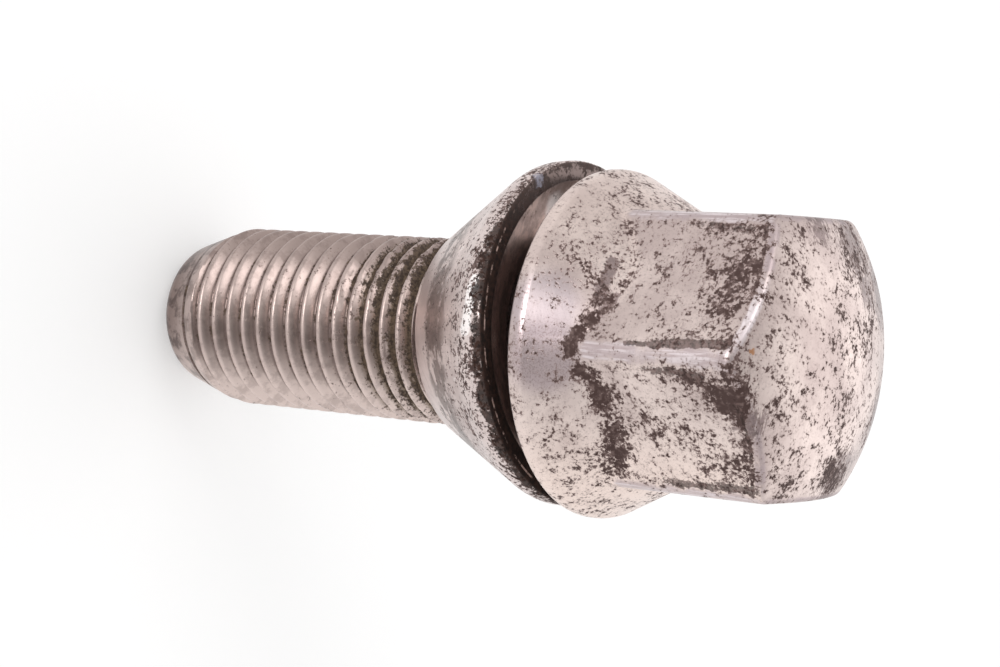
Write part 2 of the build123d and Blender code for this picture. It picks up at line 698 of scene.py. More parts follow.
@dataclass
class Bolt:
    """Head, flange and threaded shank, forged and rolled in one; sizes in millimetres and degrees."""

    flat_distance: float = 9.425
    corner_round: float = 1.4
    foot_round: float = 0.9
    crown_centre: float = 38.7023
    crown_radius: float = 19.4935
    crown_round: float = 0.35
    crown_shares: tuple[float, ...] = (0.93, 0.86, 0.78, 0.69, 0.59, 0.48, 0.36, 0.24, 0.12, 0.0)
    flange_radius: float = 12.298
    flange_bottom: float = 39.0023
    cone_bottom: float = 39.98
    cone_angle: float = 27.2
    flange_chamfer: float = 0.3
    shoulder_round: float = 1.2
    underhead_chamfer: float = 0.6
    flat_steps: int = 22
    corner_steps: int = 12
    head_sharp: float = 50.0
    thread_radius: float = 6.92
    thread_length: float = 26.8
    thread_pitch: float = 1.5
    thread_depth: float = 0.68
    crest_half: float = 0.07
    root_start: float = 0.45
    crest_phase: float = 0.225
    flank_straight: float = 0.75
    taper_length: float = 5.55
    taper_angle: float = 17.7
    tip_round: float = 2.0
    tip_segments: int = 8
    taper_cuts: int = 46
    thread_cuts: int = 226
    runout_cuts: int = 5
    neck_radius: float = 5.87
    neck_bottom: float = 27.4
    split_height: float = 31.0
    chip_start: float = 18.0
    chip_depth: float = 0.12
    chip_reach: float = 0.3
    chip_grain: float = 1.3
    chip_level: float = 0.25
    chip_rise: float = 3.0
    steps: int = 132
    shank_sharp: float = 60.0

    def bearings(self) -> list[float]:
        """Directions in which the head's outline is sampled, closer together at the corners.

        Returns:
            Angles about the axis in radians, in rising order.
        """
        inner = self.flat_distance - self.corner_round
        half = inner * math.tan(math.pi / 6)
        sextant = []
        for step in range(self.flat_steps + 1):
            sextant.append(math.atan2(half * (2 * step / self.flat_steps - 1), self.flat_distance))
        for step in range(1, self.corner_steps):
            lean = math.pi / 3 * step / self.corner_steps
            across = half + self.corner_round * math.sin(lean)
            sextant.append(math.atan2(across, inner + self.corner_round * math.cos(lean)))
        angles = [angle + side * math.pi / 3 for side in range(6) for angle in sextant]
        return sorted(math.atan2(math.sin(angle), math.cos(angle)) for angle in angles)

    def hexagon(self, bearing: float) -> float:
        """Radius of the hexagon with rounded corners in one direction.

        Args:
            bearing: The direction in radians.

        Returns:
            The radius in millimetres.
        """
        from_flat = abs(math.remainder(bearing, math.pi / 3))
        inner = self.flat_distance - self.corner_round
        if math.tan(from_flat) * self.flat_distance <= inner * math.tan(math.pi / 6):
            return self.flat_distance / math.cos(from_flat)
        lean = math.pi / 6 - from_flat
        centre = inner / math.cos(math.pi / 6)
        return centre * math.cos(lean) + math.sqrt(self.corner_round ** 2 - (centre * math.sin(lean)) ** 2)

    def cone_level(self, bearing: float) -> tuple[float, float]:
        """Radius and height where the hexagon meets the flange's cone.

        Args:
            bearing: The direction in radians.

        Returns:
            The radius and the height in millimetres.
        """
        radius = self.hexagon(bearing)
        rise = (self.flange_radius - radius) / math.tan(math.radians(self.cone_angle))
        return radius, self.cone_bottom + rise

    def crown_level(self, share: float) -> Level:
        """Level on the crown at a share of the hexagon's radius.

        Args:
            share: The share, one at the hexagon and nought on the axis.

        Returns:
            The level.
        """
        def level(bearing: float) -> tuple[float, float]:
            """Radius and height in one direction."""
            radius = self.hexagon(bearing) * share
            return radius, self.crown_centre + math.sqrt(self.crown_radius ** 2 - radius ** 2)

        return level

    def build_head(self, finish: Finish) -> bpy.types.Object:
        """Draw the head up from the neck, ring by ring, and round its edges.

        Args:
            finish: Finish of the head.

        Returns:
            The head with its flange.
        """
        shape = bmesh.new()
        bearings = self.bearings()
        bmesh.ops.create_circle(shape, cap_ends=True, segments=len(bearings), radius=self.neck_radius * MM)
        in_order = sorted(shape.verts, key=lambda vert: math.atan2(vert.co.y, vert.co.x))
        for vert, bearing in zip(in_order, bearings):
            vert.co = (math.cos(bearing), math.sin(bearing), 0)
        first = shape.edges[:]
        place_ring(first, level_at(self.neck_radius, self.split_height))
        neck_top = drawn_up(shape, first, level_at(self.neck_radius, self.flange_bottom))
        lower_rim = drawn_up(shape, neck_top, level_at(self.flange_radius, self.flange_bottom))
        shoulder = drawn_up(shape, lower_rim, level_at(self.flange_radius, self.cone_bottom))
        foot = drawn_up(shape, shoulder, self.cone_level)
        edge = drawn_up(shape, foot, self.crown_level(1.0))
        inner = edge
        for share in self.crown_shares:
            inner = drawn_up(shape, inner, self.crown_level(share))
        top = list({vert for line in inner for vert in line.verts})
        bmesh.ops.remove_doubles(shape, verts=top, dist=MERGE)
        bend = math.tan(math.radians(self.cone_angle) / 2)
        for edges, width, segments in (
            (neck_top, self.underhead_chamfer, 1),
            (lower_rim, self.flange_chamfer, 3),
            (shoulder, self.shoulder_round * bend, 6),
            (foot, self.foot_round * bend, 4),
            (edge, self.crown_round, 5),
        ):
            rounded(shape, edges, width, segments)
        head = piece("bolt_head", shape, finish, self.head_sharp)
        head.modifiers.new("even_shading", "WEIGHTED_NORMAL").keep_sharp = True
        return head

    def thread_at(self, turn_share: float, height: float) -> float:
        """Radius of the rolled thread at a place.

        Args:
            turn_share: Share of a turn about the axis.
            height: Height in millimetres.

        Returns:
            The radius in millimetres.
        """
        phase = (height - self.crest_phase) / self.thread_pitch - turn_share
        from_crest = abs(phase - round(phase))
        share = (from_crest - self.crest_half) / (self.root_start - self.crest_half)
        share = min(1.0, max(0.0, share))
        eased = share * share * (3 - 2 * share)
        flank = self.flank_straight * share + (1 - self.flank_straight) * eased
        return self.thread_radius - self.thread_depth * flank

    def build_shank(self, finish: Finish) -> bpy.types.Object:
        """Turn the shank and roll the thread into it.

        Args:
            finish: Finish of the thread.

        Returns:
            The shank with its thread.
        """
        shape = bmesh.new()
        taper = math.radians(self.taper_angle)
        tip_radius = self.thread_radius - self.taper_length * math.tan(taper)
        section = outline(shape, [
            (0, 0),
            (tip_radius, 0),
            (self.thread_radius, self.taper_length),
            (self.thread_radius, self.thread_length),
            (self.neck_radius, self.neck_bottom),
            (self.neck_radius, self.split_height),
            (0, self.split_height),
        ], False)
        turn(shape, section, self.steps)
        width = self.tip_round * math.tan(math.radians(90 - self.taper_angle) / 2)
        rounded(shape, ring(shape, tip_radius, 0), width, self.tip_segments)
        striped(shape, width * math.cos(taper), self.taper_length, self.taper_cuts)
        striped(shape, self.taper_length, self.thread_length, self.thread_cuts)
        striped(shape, self.thread_length, self.neck_bottom, self.runout_cuts)
        for vert in shape.verts:
            self.roll(vert)
        return piece("threaded_shank", shape, finish, self.shank_sharp)

    def roll(self, vert: bmesh.types.BMVert) -> None:
        """Press one point of the shank in to the thread's form, with a few chipped crests.

        Args:
            vert: The point.
        """
        height = vert.co.z / MM
        radius = vert.co.xy.length / MM
        if radius < self.tip_round or height > self.neck_bottom:
            return
        turn_share = math.atan2(vert.co.y, vert.co.x) / (2 * math.pi)
        target = min(radius, self.thread_at(turn_share, height))
        if height > self.chip_start and target > self.thread_radius - self.chip_reach:
            rough = noise.noise(vert.co / MM * self.chip_grain) - self.chip_level
            target -= self.chip_depth * max(0.0, min(1.0, rough * self.chip_rise))
        vert.co.xy *= target / radius


@dataclass
class SeatCollar:
    """Loose collar with a conical seat and a dished back; sizes in millimetres and degrees."""

    foot: Point = (0.0, 0.0, 27.6)
    tilt: float = 3.71012
    bore_radius: float = 6.72
    entry: float = 0.35
    lip_radius: float = 7.74
    lip_round: float = 0.32
    rim_radius: float = 12.294
    rim_round: float = 0.25
    shoulder_height: float = 7.77233
    shoulder_round: float = 1.7
    length: float = 9.20233
    dish_radius: float = 11.0
    dish_depth: float = 1.8
    dish_round: float = 0.2
    bore_round: float = 0.15
    steps: int = 144
    sharp: float = 50.0

    def build(self, finish: Finish) -> bpy.types.Object:
        """Turn the collar, round its edges and tilt it on the neck.

        Args:
            finish: Finish of the collar.

        Returns:
            The collar.
        """
        shape = bmesh.new()
        dish_bottom = self.length - self.dish_depth
        section = outline(shape, [
            (self.bore_radius, self.entry),
            (self.bore_radius + self.entry, 0),
            (self.lip_radius, 0),
            (self.rim_radius, self.shoulder_height),
            (self.rim_radius, self.length),
            (self.dish_radius, self.length),
            (self.bore_radius, dish_bottom),
        ], True)
        turn(shape, section, self.steps)
        cone = math.atan2(self.rim_radius - self.lip_radius, self.shoulder_height)
        for radius, height, width, segments in (
            (self.rim_radius, self.shoulder_height, self.shoulder_round * math.tan(cone / 2), 6),
            (self.lip_radius, 0, self.lip_round, 4),
            (self.rim_radius, self.length, self.rim_round, 3),
            (self.dish_radius, self.length, self.dish_round, 3),
            (self.bore_radius, dish_bottom, self.bore_round, 2),
        ):
            rounded(shape, ring(shape, radius, height), width, segments)
        lean = Matrix.Rotation(-math.radians(self.tilt), 4, "Y")
        moved = Matrix.Translation(Vector(self.foot) * MM) @ lean
        bmesh.ops.transform(shape, matrix=moved, verts=shape.verts[:])
        return piece("collar_ring", shape, finish, self.sharp)


class HeadPlating(Finish):
    """Bright plating of the head and flange, pitted, with dirt in its corners."""

    name = "pitted_plating"
    bright_tone = shade(222, 206, 200)
    # Painted light: tone of the lit lower side.
    painted_light_tone = shade(246, 226, 216)
    polished_tone = shade(222, 211, 213)
    violet_tone = shade(177, 161, 164)
    shoulder_shade_tone = shade(180, 167, 170)
    rubbed_tone = shade(128, 111, 111)
    drip_tone = shade(124, 108, 108)
    rust_tone = shade(168, 112, 62)
    halo_tone = shade(158, 141, 137)
    pit_tone = shade(74, 57, 54)
    worn_pit_tone = shade(124, 105, 101)
    violet_zone = ((0.6, -11.4, 41.5), 3.9)
    shoulder_shade_zone = ((-2.6, -11.3, 41.2), 3.8)
    rim_highlight_zone = ((-2.6, -9.0, 55.4), 4.0)
    rust_spot = ((-0.67, -9.21, 55.86), 0.55)
    drawn_out = (5.0, 5.0, 0.3)
    lower_side = (1.0, 0.0, 0.0)
    # Painted light: how much brighter the plating is laid per millimetre towards the lower side.
    painted_side_light = 0.019
    pitting = {
        "flats": 0.016, "brow": 0.02, "foot": 0.02, "ridge_side": 0.02, "ridge": -0.05,
        "crown": 0.005, "crown_skirt": 0.01, "rim": -0.035, "brow_line": 0.04,
    }
    soiling = {
        "ridge_side": 0.08, "foot": 0.05, "underside": 0.4, "crown_skirt": 0.04, "ridge": -0.15,
        "brow_line": 0.1, "rim": -0.02,
    }
    soiling_base = -0.1
    clusters = (
        ((-6.2, -7.3, 53.6), 2.0, 0.1), ((-4.7, -8.2, 53.7), 2.0, 0.09), ((-3.4, -8.9, 53.5), 1.8, 0.07),
        ((-8.4, -6.0, 53.4), 2.6, 0.06), ((2.6, -9.4, 54.6), 2.2, 0.05), ((4.6, -8.2, 50.6), 4.0, 0.03),
        ((6.7, -7.2, 45.2), 2.6, 0.05), ((3.3, -9.1, 45.2), 2.6, 0.05), ((-4.3, -8.8, 45.0), 2.6, 0.05),
        ((-6.5, -8.6, 42.8), 3.4, 0.03), ((7.6, -6.5, 53.4), 3.0, 0.04), ((-4.0, -5.8, 56.9), 2.0, -0.04),
        ((2.0, -9.3, 55.8), 2.4, 0.05), ((0.6, -11.4, 41.5), 2.6, -0.03), ((-2.4, -11.8, 40.6), 3.0, -0.07),
        ((-7.6, -6.4, 49.5), 4.0, 0.025), ((2.6, -10.9, 42.2), 2.6, 0.03), ((-7.4, 2.4, 56.6), 3.6, 0.1),
        ((7.8, 1.6, 56.4), 3.4, 0.09), ((-4.2, -8.1, 55.9), 1.2, 0.1), ((-6.1, -7.4, 55.0), 1.0, 0.06),
        ((-2.4, -9.1, 55.4), 1.8, -0.05), ((-5.3, -4.7, 56.9), 1.3, 0.08), ((0.6, -7.4, 56.7), 1.4, 0.06),
        ((2.8, -6.7, 56.8), 1.4, 0.06), ((0.4, -4.7, 57.6), 1.3, 0.06), ((-3.2, -1.4, 57.9), 1.4, 0.06),
        ((2.8, -1.7, 57.9), 1.2, 0.06), ((7.3, -0.1, 56.8), 2.0, 0.07), ((-8.4, -3.7, 55.9), 1.5, 0.06),
        ((1.6, 3.4, 58.0), 3.4, -0.03),
    )
    patches = (
        ((0.3, -10.7, 43.1), (1.2, -10.4, 43.6), 0.9, 0.08),
        ((1.6, -10.2, 43.9), (3.0, -9.4, 44.7), 1.2, 0.12),
        ((3.4, -9.2, 44.7), (5.2, -8.2, 44.8), 1.1, 0.06),
        ((5.4, -8.1, 44.9), (8.1, -6.2, 44.4), 1.5, 0.09),
        ((-0.2, -10.7, 43.0), (-0.9, -10.5, 43.4), 0.9, 0.11),
        ((-1.2, -10.4, 43.6), (-3.3, -9.3, 44.7), 1.0, 0.09),
        ((1.3, -10.1, 52.4), (3.4, -8.9, 54.9), 1.6, 0.08),
        ((0.7, -10.2, 55.2), (2.0, -9.6, 55.5), 1.3, 0.1),
        ((2.0, -9.6, 55.3), (8.4, -5.7, 55.2), 0.9, 0.05),
    )
    smears = (
        ((-0.62, -10.5, 49.4), (-1.0, -10.25, 54.7), 0.62, 0.36),
        ((-0.55, -10.55, 47.2), (-0.6, -10.5, 49.6), 0.4, 0.28),
        ((1.0, -10.3, 48.6), (1.2, -10.2, 52.8), 0.7, 0.17),
        ((1.3, -10.1, 52.2), (3.0, -9.1, 54.6), 1.4, 0.12),
        ((-3.6, -9.3, 44.4), (-5.4, -8.6, 44.0), 0.8, 0.17),
        ((8.8, -5.8, 48.4), (8.6, -5.9, 54.4), 1.2, 0.2),
        ((-8.8, -5.8, 50.2), (-8.2, -6.1, 54.2), 1.3, 0.14),
        ((2.0, -9.6, 55.2), (7.0, -6.6, 55.2), 0.8, 0.13),
    )
    drips = (
        ((-5.8, -8.2, 44.4), (-3.5, -9.4, 44.3), 0.8),
        ((-3.5, -8.9, 45.2), (-2.4, -9.6, 44.6), 0.6),
    )
    rubs = (
        ((-7.6, 2.6, 56.5), 3.8), ((7.8, 2.0, 56.4), 3.6), ((-8.8, -1.6, 55.9), 2.0),
        ((4.0, -8.4, 55.4), 2.0), ((-4.4, 6.6, 56.6), 3.4), ((3.6, 7.0, 56.6), 3.0),
        ((-4.6, 3.2, 57.4), 2.4),
    )

    def __init__(self, effects: Effects, bolt: Bolt) -> None:
        """Lay the plating with its painted light and shade, its worn places, its pits and its dirt.

        Args:
            effects: The shared effects.
            bolt: The bolt, whose sizes place the zones.
        """
        super().__init__()
        self.wander = self.math("SUBTRACT", self.noise(self.place, 0.7, 5.0, 0.62), 0.5)
        self.violet = self.ramp(self.near(*self.violet_zone), 0.0, 0.6, 0.0, 0.85)
        height = self.map_zones(bolt)
        self.wear(effects)
        self.ragged = self.math("MULTIPLY_ADD", self.grime["Tone"], 1.8, -0.9)
        self.lay_plating()
        self.lay_wear()
        self.lay_pits()
        self.soil(0.8)
        cover = self.math("MAXIMUM", self.pits["Mask"], self.grime["Mask"])
        shoulder = self.times(self.violet, self.ramp(height, 41.6, 40.9))
        roughness = self.weighed((self.rubbed["Drift"], 0.2), (cover, 0.3), (self.zones["rim"], 0.1),
                                 (shoulder, -0.05), start=0.22)
        self.show(cover, roughness, self.weighed((self.pits["Depth"], -1.0), (self.rubbed["Streak"], 0.25)))

    def map_zones(self, bolt: Bolt) -> Socket:
        """Map the flats, ridges, edges, foot, crown and underside.

        Args:
            bolt: The bolt, whose sizes place the zones.

        Returns:
            Height along the bolt.
        """
        radius, angle, height = self.polar(self.place)
        wedge = self.math("WRAP", angle, math.pi / 6, -math.pi / 6)
        off_flat = self.times(radius, self.math("COSINE", wedge))
        off_flat = self.math("SUBTRACT", off_flat, bolt.flat_distance)
        from_centre = self.vector("DISTANCE", self.place, (0.0, 0.0, bolt.crown_centre))["Value"]
        slope = 1 / math.tan(math.radians(bolt.cone_angle))
        cone = self.math("MULTIPLY_ADD", radius, -slope, bolt.cone_bottom + bolt.flange_radius * slope)
        self.above_cone = self.math("SUBTRACT", height, cone)
        worn_radius = self.math("MULTIPLY_ADD", self.wander, 0.5, radius)
        worn_crown = self.math("MULTIPLY_ADD", self.wander, 0.25, from_centre)
        crown = self.ramp(from_centre, bolt.crown_radius - 0.1, bolt.crown_radius - 0.05)
        flats = self.times(self.ramp(off_flat, 0.12, 0.02), self.math("SUBTRACT", 1.0, crown))
        shaft = self.ramp(self.above_cone, 0.3, 0.9)
        below = self.ramp(height, bolt.flange_bottom + 0.1, bolt.flange_bottom + 0.02)
        self.zones = {
            "crown": crown,
            "crown_skirt": self.times(self.ramp(radius, 6.6, 9.6), crown),
            "flats": flats,
            "shaft": shaft,
            "ridge": self.times(self.ramp(worn_radius, 10.48, 10.66), shaft),
            "ridge_side": self.times(self.band(radius, (10.15, 10.36), (10.47, 10.54)), flats, shaft),
            "brow": self.times(self.ramp(from_centre, 17.0, 19.2), flats),
            "brow_line": self.times(self.band(worn_crown, (18.82, 18.98), (19.06, 19.16)), flats),
            "rim": self.times(self.ramp(worn_crown, 19.1, 19.24), self.ramp(off_flat, -0.5, -0.3)),
            "foot": self.times(self.ramp(self.above_cone, 1.5, 0.1), self.ramp(off_flat, 1.6, 0.0)),
            "underside": self.times(below, self.ramp(radius, 12.2, 11.9)),
        }
        return height

    def lay_plating(self) -> None:
        """Lay the bright plating, with painted light on its lower side and flange, painted shade near the
        shoulder, a painted highlight on part of the rim, and its barer places.
        """
        crown, rim = self.zones["crown"], self.zones["rim"]
        # Painted light and shade: the plating is laid brighter towards the lower side and duller towards the
        # upper side, less so on the crown.
        lower = self.towards(self.lower_side)
        side = self.times(lower, self.painted_side_light)
        shaded = self.times(side, self.ramp(self.above_cone, 0.0, 1.0, 0.2, 1.0))
        side = self.times(self.math("MAXIMUM", side, shaded), self.ramp(crown, 0.0, 1.0, 1.0, 0.3))
        self.lay(self.ramp(self.math("ADD", self.rubbed["Drift"], side), 0.3, 0.68), self.bright_tone)
        self.lay(self.ramp(self.rubbed["Streak"], 0.45, 0.75), self.ground_tone, 0.3)
        # Painted light: a warm lighter tone laid on the lower side of the head and on both sides of the
        # flange, not on the crown.
        lit = self.ramp(self.math("ABSOLUTE", lower), 3.0, 10.0)
        flange_share = self.ramp(self.zones["shaft"], 0.0, 1.0, 0.5, 0.0)
        open_side = self.math("MAXIMUM", self.ramp(lower, -1.0, 1.0), flange_share)
        self.lay(self.times(lit, open_side, self.ramp(crown, 0.0, 1.0, 1.0, 0.0)), self.painted_light_tone, 0.65)
        # Painted shade: a darker cool tone near the flange's shoulder that dims the front softbox's glow
        # there.
        self.lay(self.ramp(self.near(*self.shoulder_shade_zone), 0.0, 0.6), self.shoulder_shade_tone, 0.85)
        bared = self.times(rim, self.ramp(self.wander, -0.12, 0.06, 0.2, 1.0))
        bared = self.times(self.math("MAXIMUM", self.zones["ridge"], bared), 0.75)
        self.lay(self.math("MAXIMUM", self.violet, bared), self.violet_tone)
        # Partly worn bare rim and partly a painted highlight: the rim is laid polished near one place on the
        # crown's edge.
        self.lay(self.times(rim, self.near(*self.rim_highlight_zone)), self.polished_tone)
        grain = self.math("MULTIPLY_ADD", self.violet, 0.07, self.noise(self.place, 9.0, 3.0, 0.6))
        self.lay(self.times(self.ramp(grain, 0.56, 0.68), self.violet), self.worn_pit_tone, 0.6)

    def lay_wear(self) -> None:
        """Lay the bared ridges, the rubbed places and the drips."""
        streaks = self.vector("MULTIPLY", self.place, self.drawn_out)["Vector"]
        drawn = self.ramp(self.noise(streaks, 1.0, 3.0, 0.6), 0.46, 0.6)
        self.lay(self.times(self.zones["ridge"], drawn), self.polished_tone, 0.8)
        mottled = self.ramp(self.pits["Tone"], 0.45, 0.62, 0.0, 0.7)
        rubbed_tone = self.blend(mottled, self.rubbed_tone, self.pit_tone)
        rough = self.weighed((self.rubbed["Streak"], 2.4), (self.wander, 1.2), (self.ragged, 1.2))
        for centre, reach in self.rubs:
            close = self.near(centre, reach)
            rub = self.ramp(self.math("ADD", rough, close), 1.4, 1.9)
            self.lay(self.times(rub, self.ramp(close, 0.0, 0.3)), rubbed_tone, 0.8)
        for start, end, reach in self.drips:
            drip = self.weighed((self.wander, 1.0), (self.ragged, 0.9), start=self.along(start, end, reach))
            self.lay(self.ramp(drip, 0.35, 0.6), self.drip_tone, 0.85)

    def lay_pits(self) -> None:
        """Lay the specks, the pits with their halo and the spot of rust."""
        on_crown = self.ramp(self.zones["crown"], 0.0, 1.0, 0.5, 0.2)
        self.lay(self.times(self.pits["Specks"], on_crown), self.worn_pit_tone)
        self.lay(self.pits["Halo"], self.halo_tone, 0.35)
        rust = self.math("ADD", self.ragged, self.near(*self.rust_spot))
        self.lay(self.ramp(rust, 0.45, 0.8), self.rust_tone, 0.8)
        deep = self.math("MULTIPLY_ADD", self.pits["Tone"], -1.2, self.pits["Depth"])
        pit_floor = self.blend(self.ramp(deep, 0.0, 0.45), self.worn_pit_tone, self.pit_tone)
        self.lay(self.pits["Mask"], pit_floor)


class ThreadSteel(Finish):
    """Brownish satin steel of the thread, dirty towards the collar."""

    name = "thread_steel"
    pit_grain = 1.3
    dirt_grain = 1.1
    rub_grain = 1.2
    covered_metal = 0.2
    relief_depth = 0.02
    ground_tone = shade(182, 164, 158)
    crest_tone = shade(190, 172, 166)
    root_shade_and_stain_tone = shade(84, 67, 63)
    # Painted light: lighter tone of the lower side.
    lit_lower_side_tone = shade(226, 208, 201)
    # Dark tone of the tip's patina, also laid as painted shade on the upper side.
    tip_patina_and_shade_tone = shade(138, 119, 113)
    film_tone = shade(122, 107, 90)
    dirt_tone = shade(98, 82, 68)
    caked_tone = shade(54, 43, 37)
    caked_levels = (0.4, 0.62)
    thread_start = (2.2, 3.4)
    dirt_rise = (17.0, 24.0)
    film_rise = (19.0, 23.5)
    upper_side = (-1.0, 0.0, 0.0)
    pitting = {"collar_end": 0.06, "crest": 0.02}
    pitting_base = -0.08
    soiling = {"collar_end": 0.17, "root": 0.13, "crest": -0.13, "upper_collar_end": 0.09}
    soiling_base = -0.08

    def __init__(self, effects: Effects, bolt: Bolt) -> None:
        """Lay the steel, darker in the roots with dirt and painted shade, darker on the upper side as
        painted shade and lighter on the lower side as painted light, and its dirt.

        Args:
            effects: The shared effects.
            bolt: The bolt, whose thread the pattern follows.
        """
        super().__init__()
        _, angle, height = self.polar(self.place)
        turns = self.weighed((angle, -1 / (2 * math.pi)), (height, 1 / bolt.thread_pitch),
                             start=-bolt.crest_phase / bolt.thread_pitch)
        wave = self.math("COSINE", self.times(turns, 2 * math.pi))
        threaded = self.ramp(height, *self.thread_start)
        collar_end = self.ramp(height, *self.dirt_rise)
        upper = self.towards(self.upper_side)
        crest = self.times(self.ramp(wave, -0.1, 0.9), threaded)
        root = self.times(self.ramp(wave, -0.5, -0.93), threaded)
        self.zones = {
            "crest": crest,
            "root": root,
            "collar_end": collar_end,
            "upper_collar_end": self.times(self.ramp(upper, 1.0, 5.0), collar_end),
        }
        self.wear(effects)

        self.lay(crest, self.crest_tone)
        from_tip = self.math("MULTIPLY_ADD", self.rubbed["Drift"], 2.0, height)
        self.lay(self.ramp(from_tip, 5.2, 2.4), self.tip_patina_and_shade_tone)
        # Painted shade: the upper side laid darker.
        self.lay(self.ramp(upper, 3.5, 7.0), self.tip_patina_and_shade_tone, 0.5)
        # Painted light: the lower side laid lighter.
        self.lay(self.ramp(upper, -1.0, -5.0), self.lit_lower_side_tone, 0.7)
        # Dark roots, partly dirt and partly painted shade in the thread's grooves.
        self.lay(root, self.root_shade_and_stain_tone, 0.72)
        blotch = self.ramp(self.noise(self.place, 0.75, 6.0, 0.68), 0.46, 0.6)
        self.lay(self.times(blotch, self.ramp(height, 6.0, 1.0, 0.25, 0.9)), self.root_shade_and_stain_tone)
        self.lay(self.pits["Mask"], self.root_shade_and_stain_tone, 0.7)
        groove = self.times(self.ramp(wave, 0.3, -0.7), self.ramp(height, *self.film_rise))
        self.lay(groove, self.film_tone, 0.8)
        self.soil(0.9)

        cover = self.math("MAXIMUM", self.grime["Mask"], self.times(self.pits["Mask"], 0.5))
        roughness = self.weighed((self.rubbed["Drift"], 0.14), (crest, 0.08), (cover, 0.4), start=0.24)
        self.show(cover, roughness, self.weighed((self.pits["Depth"], -0.8), (self.grime["Tone"], 0.5)))


class CollarPlating(Finish):
    """Plating of the collar, worn on the seat, pitted, and dark at the rim with dirt and painted shade."""

    name = "collar_plating"
    pit_grain = 1.1
    dirt_grain = 0.8
    rub_grain = 1.3
    covered_metal = 0.1
    ground_tone = shade(186, 169, 165)
    bright_tone = shade(216, 200, 196)
    polished_tone = shade(226, 213, 210)
    highlight_paint_tone = shade(250, 243, 241)
    smear_tone = shade(94, 76, 70)
    thin_smear_tone = shade(120, 101, 95)
    recess_tone = shade(204, 174, 164)
    recess_stain_tone = shade(140, 114, 106)
    back_tone = shade(101, 85, 81)
    scratch_tone = shade(162, 160, 174)
    pit_tone = shade(70, 55, 52)
    worn_pit_tone = shade(122, 104, 100)
    # Near-black dirt tones, which on the rim also stand in as painted shade of the gap.
    dirt_tone = shade(58, 38, 31)
    caked_tone = shade(26, 17, 14)
    caked_levels = (0.38, 0.62)
    worn_patch = ((-3.8, -9.0, 30.5), (-0.4, -9.6, 30.6), 2.4)
    painted_highlight = ((-4.2, -11.5, 35.75), (-0.8, -12.2, 35.5), 0.9)
    reflection_spot = ((-9.6, -2.6, 35.4), 2.0)
    scratch_place = ((-11.2, -5.4, 36.1), 1.0)
    brush = (0.5, 0.5, 0.9)
    lower_side = (1.0, -0.6, 0.0)
    side_turn = (-9.0, 2.0)
    pitting = {"shoulder": 0.03, "land": 0.05, "seat": -0.03, "lip": -0.06, "dish": -0.1, "back": -0.1}
    soiling = {
        "soiled_and_shaded_land": 0.24, "soiled_and_shaded_back": 0.3, "lip": -0.12, "dish": 0.05, "bore": 0.3, "shoulder": -0.03,
    }
    soiling_base = -0.07

    def __init__(self, effects: Effects, collar: SeatCollar) -> None:
        """Lay the plating, the seat's smear, the pits and the rim's dirt and painted shade.

        Args:
            effects: The shared effects.
            collar: The collar, whose axis places the zones.
        """
        super().__init__()
        self.wander = self.math("SUBTRACT", self.noise(self.place, 0.6, 4.0, 0.6), 0.5)
        brushing = self.vector("MULTIPLY", self.place, self.brush)["Vector"]
        self.brushed = self.noise(brushing, 1.0, 7.0, 0.66)
        self.ragged = self.noise(self.place, 1.3, 6.0, 0.72)
        height = self.map_zones(collar)
        self.wear(effects)
        self.lay_plating()
        self.lay_smear(height)
        self.lay_recess()
        self.lay_dirt()
        cover = self.math("MAXIMUM", self.pits["Mask"], self.grime["Mask"])
        roughness = self.weighed((self.rubbed["Drift"], 0.18), (cover, 0.5), start=0.22)
        self.show(cover, roughness, self.weighed((self.pits["Depth"], -1.0), (self.rubbed["Streak"], 0.3)))

    def map_zones(self, collar: SeatCollar) -> Socket:
        """Map the lip, seat, shoulder, land, back, dish and bore about the leaning axis.

        Args:
            collar: The collar, whose axis places the zones.

        Returns:
            Height along the collar's axis.
        """
        upright = self.add("ShaderNodeMapping", vector_type="TEXTURE")
        self.feed(upright.inputs["Vector"], self.place)
        upright.inputs["Location"].default_value = collar.foot
        upright.inputs["Rotation"].default_value = (0.0, -math.radians(collar.tilt), 0.0)
        radius, _, height = self.polar(upright.outputs["Vector"])
        worn_height = self.math("MULTIPLY_ADD", self.wander, 1.4, height)
        lower = self.towards(self.lower_side)
        land = self.times(self.ramp(worn_height, 8.0, 8.8), self.ramp(radius, 11.8, 11.9))
        back = self.ramp(height, 9.12, 9.17)
        edge = self.times(self.band(radius, (11.66, 11.72), (11.8, 11.86)), back)
        self.zones = {
            "lip": self.ramp(height, 2.0, 1.5),
            "seat": self.band(worn_height, (1.7, 2.3), (3.9, 5.4)),
            "shoulder": self.band(height, (5.8, 7.0), (8.4, 8.8)),
            "land": land,
            # Dirt and painted shade: the land and the back are laid darker towards the near and lower side,
            # where the gap under the flange is in shade.
            "soiled_and_shaded_land": self.times(land, self.ramp(lower, *self.side_turn, 0.15, 1.0)),
            "back": back,
            "soiled_and_shaded_back": self.times(back, self.ramp(lower, *self.side_turn, 0.5, 1.0)),
            "upper_back": self.times(back, self.ramp(lower, *self.side_turn, 0.8, 0.0)),
            "lower_edge": self.times(edge, self.ramp(lower, -6.0, 0.0)),
            "dish": self.times(self.ramp(radius, 11.05, 10.8), self.ramp(height, 7.1, 7.3)),
            "bore": self.ramp(radius, 6.95, 6.75),
        }
        return height

    def lay_plating(self) -> None:
        """Lay the plating with its streaks and its lighter shoulder, partly polished wear and partly a
        painted highlight.
        """
        self.lay(self.ramp(self.rubbed["Drift"], 0.34, 0.66), self.bright_tone)
        self.lay(self.ramp(self.rubbed["Streak"], 0.45, 0.7), self.ground_tone, 0.5)
        # Partly polished wear and partly a painted highlight: the shoulder laid lighter all round.
        self.lay(self.zones["shoulder"], self.polished_tone, 0.5)

